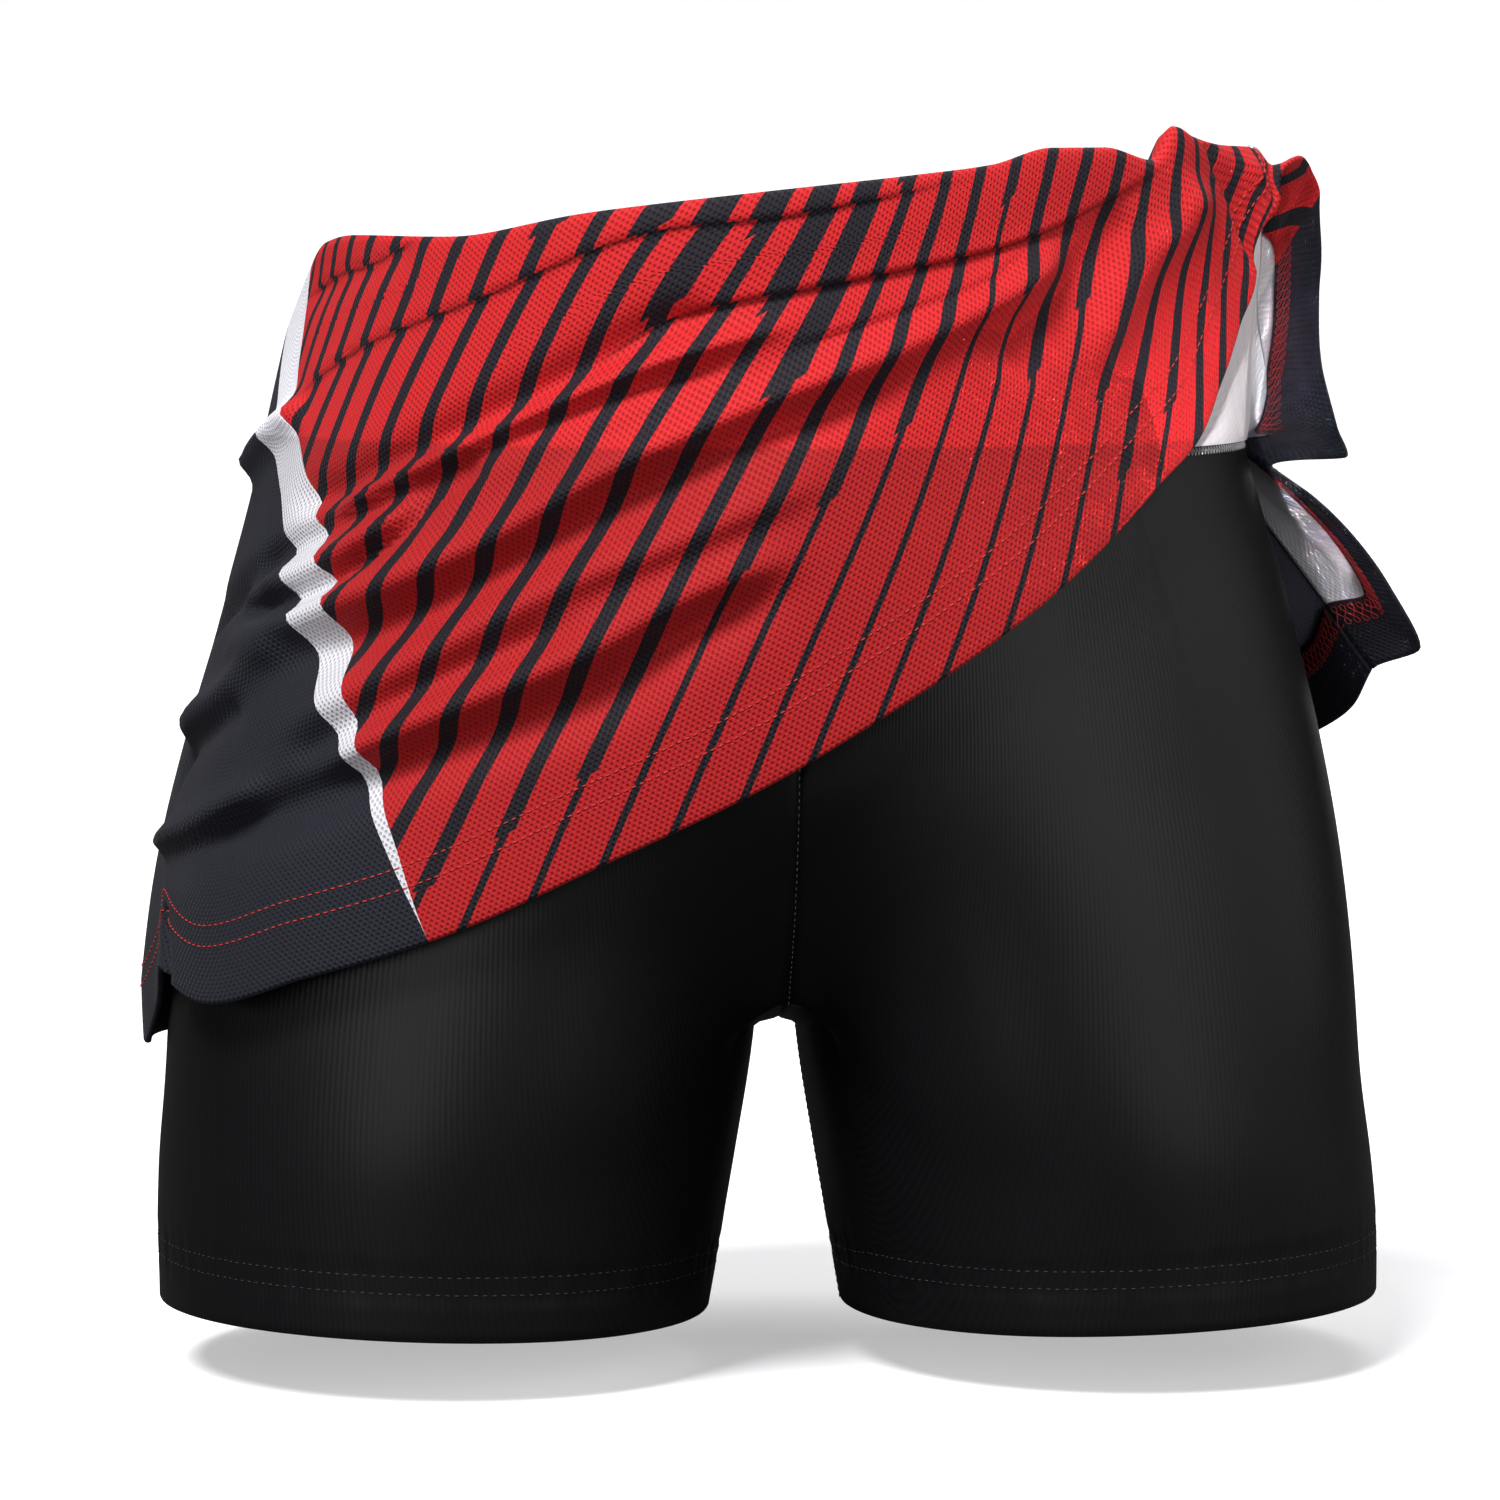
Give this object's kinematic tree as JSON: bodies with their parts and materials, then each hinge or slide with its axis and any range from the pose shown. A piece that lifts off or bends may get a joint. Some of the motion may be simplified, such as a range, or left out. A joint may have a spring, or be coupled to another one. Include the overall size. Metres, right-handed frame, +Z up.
{
  "type": "netball skirt with built-in shorts",
  "caption": "Short flared sports skirt with built-in close-fitting shorts, worn shape, the front hem turned up over the waistband.",
  "frame": {"origin": "centre of the waist seam, where waistband, skirt and shorts meet, on the wearer's middle line", "axes": "+Z up the wearer's body, -Y the front, +X the wearer's left side"},
  "size_m": [0.4048, 0.2632, 0.3666],
  "materials": {
    "elastic": "matt black ribbed elastic",
    "lycra": "black stretch knit with a soft sheen",
    "printed_mesh": "red knitted mesh with dark stripes, white bands and black sides, light reverse",
    "black_mesh": "black knitted mesh, light reverse"
  },
  "bodies": {
    "root": {"waistband": "elastic", "shorts_left": "lycra", "shorts_right": "lycra", "skirt_front": "printed_mesh", "skirt_back": "black_mesh"}
  },
  "joints": []
}
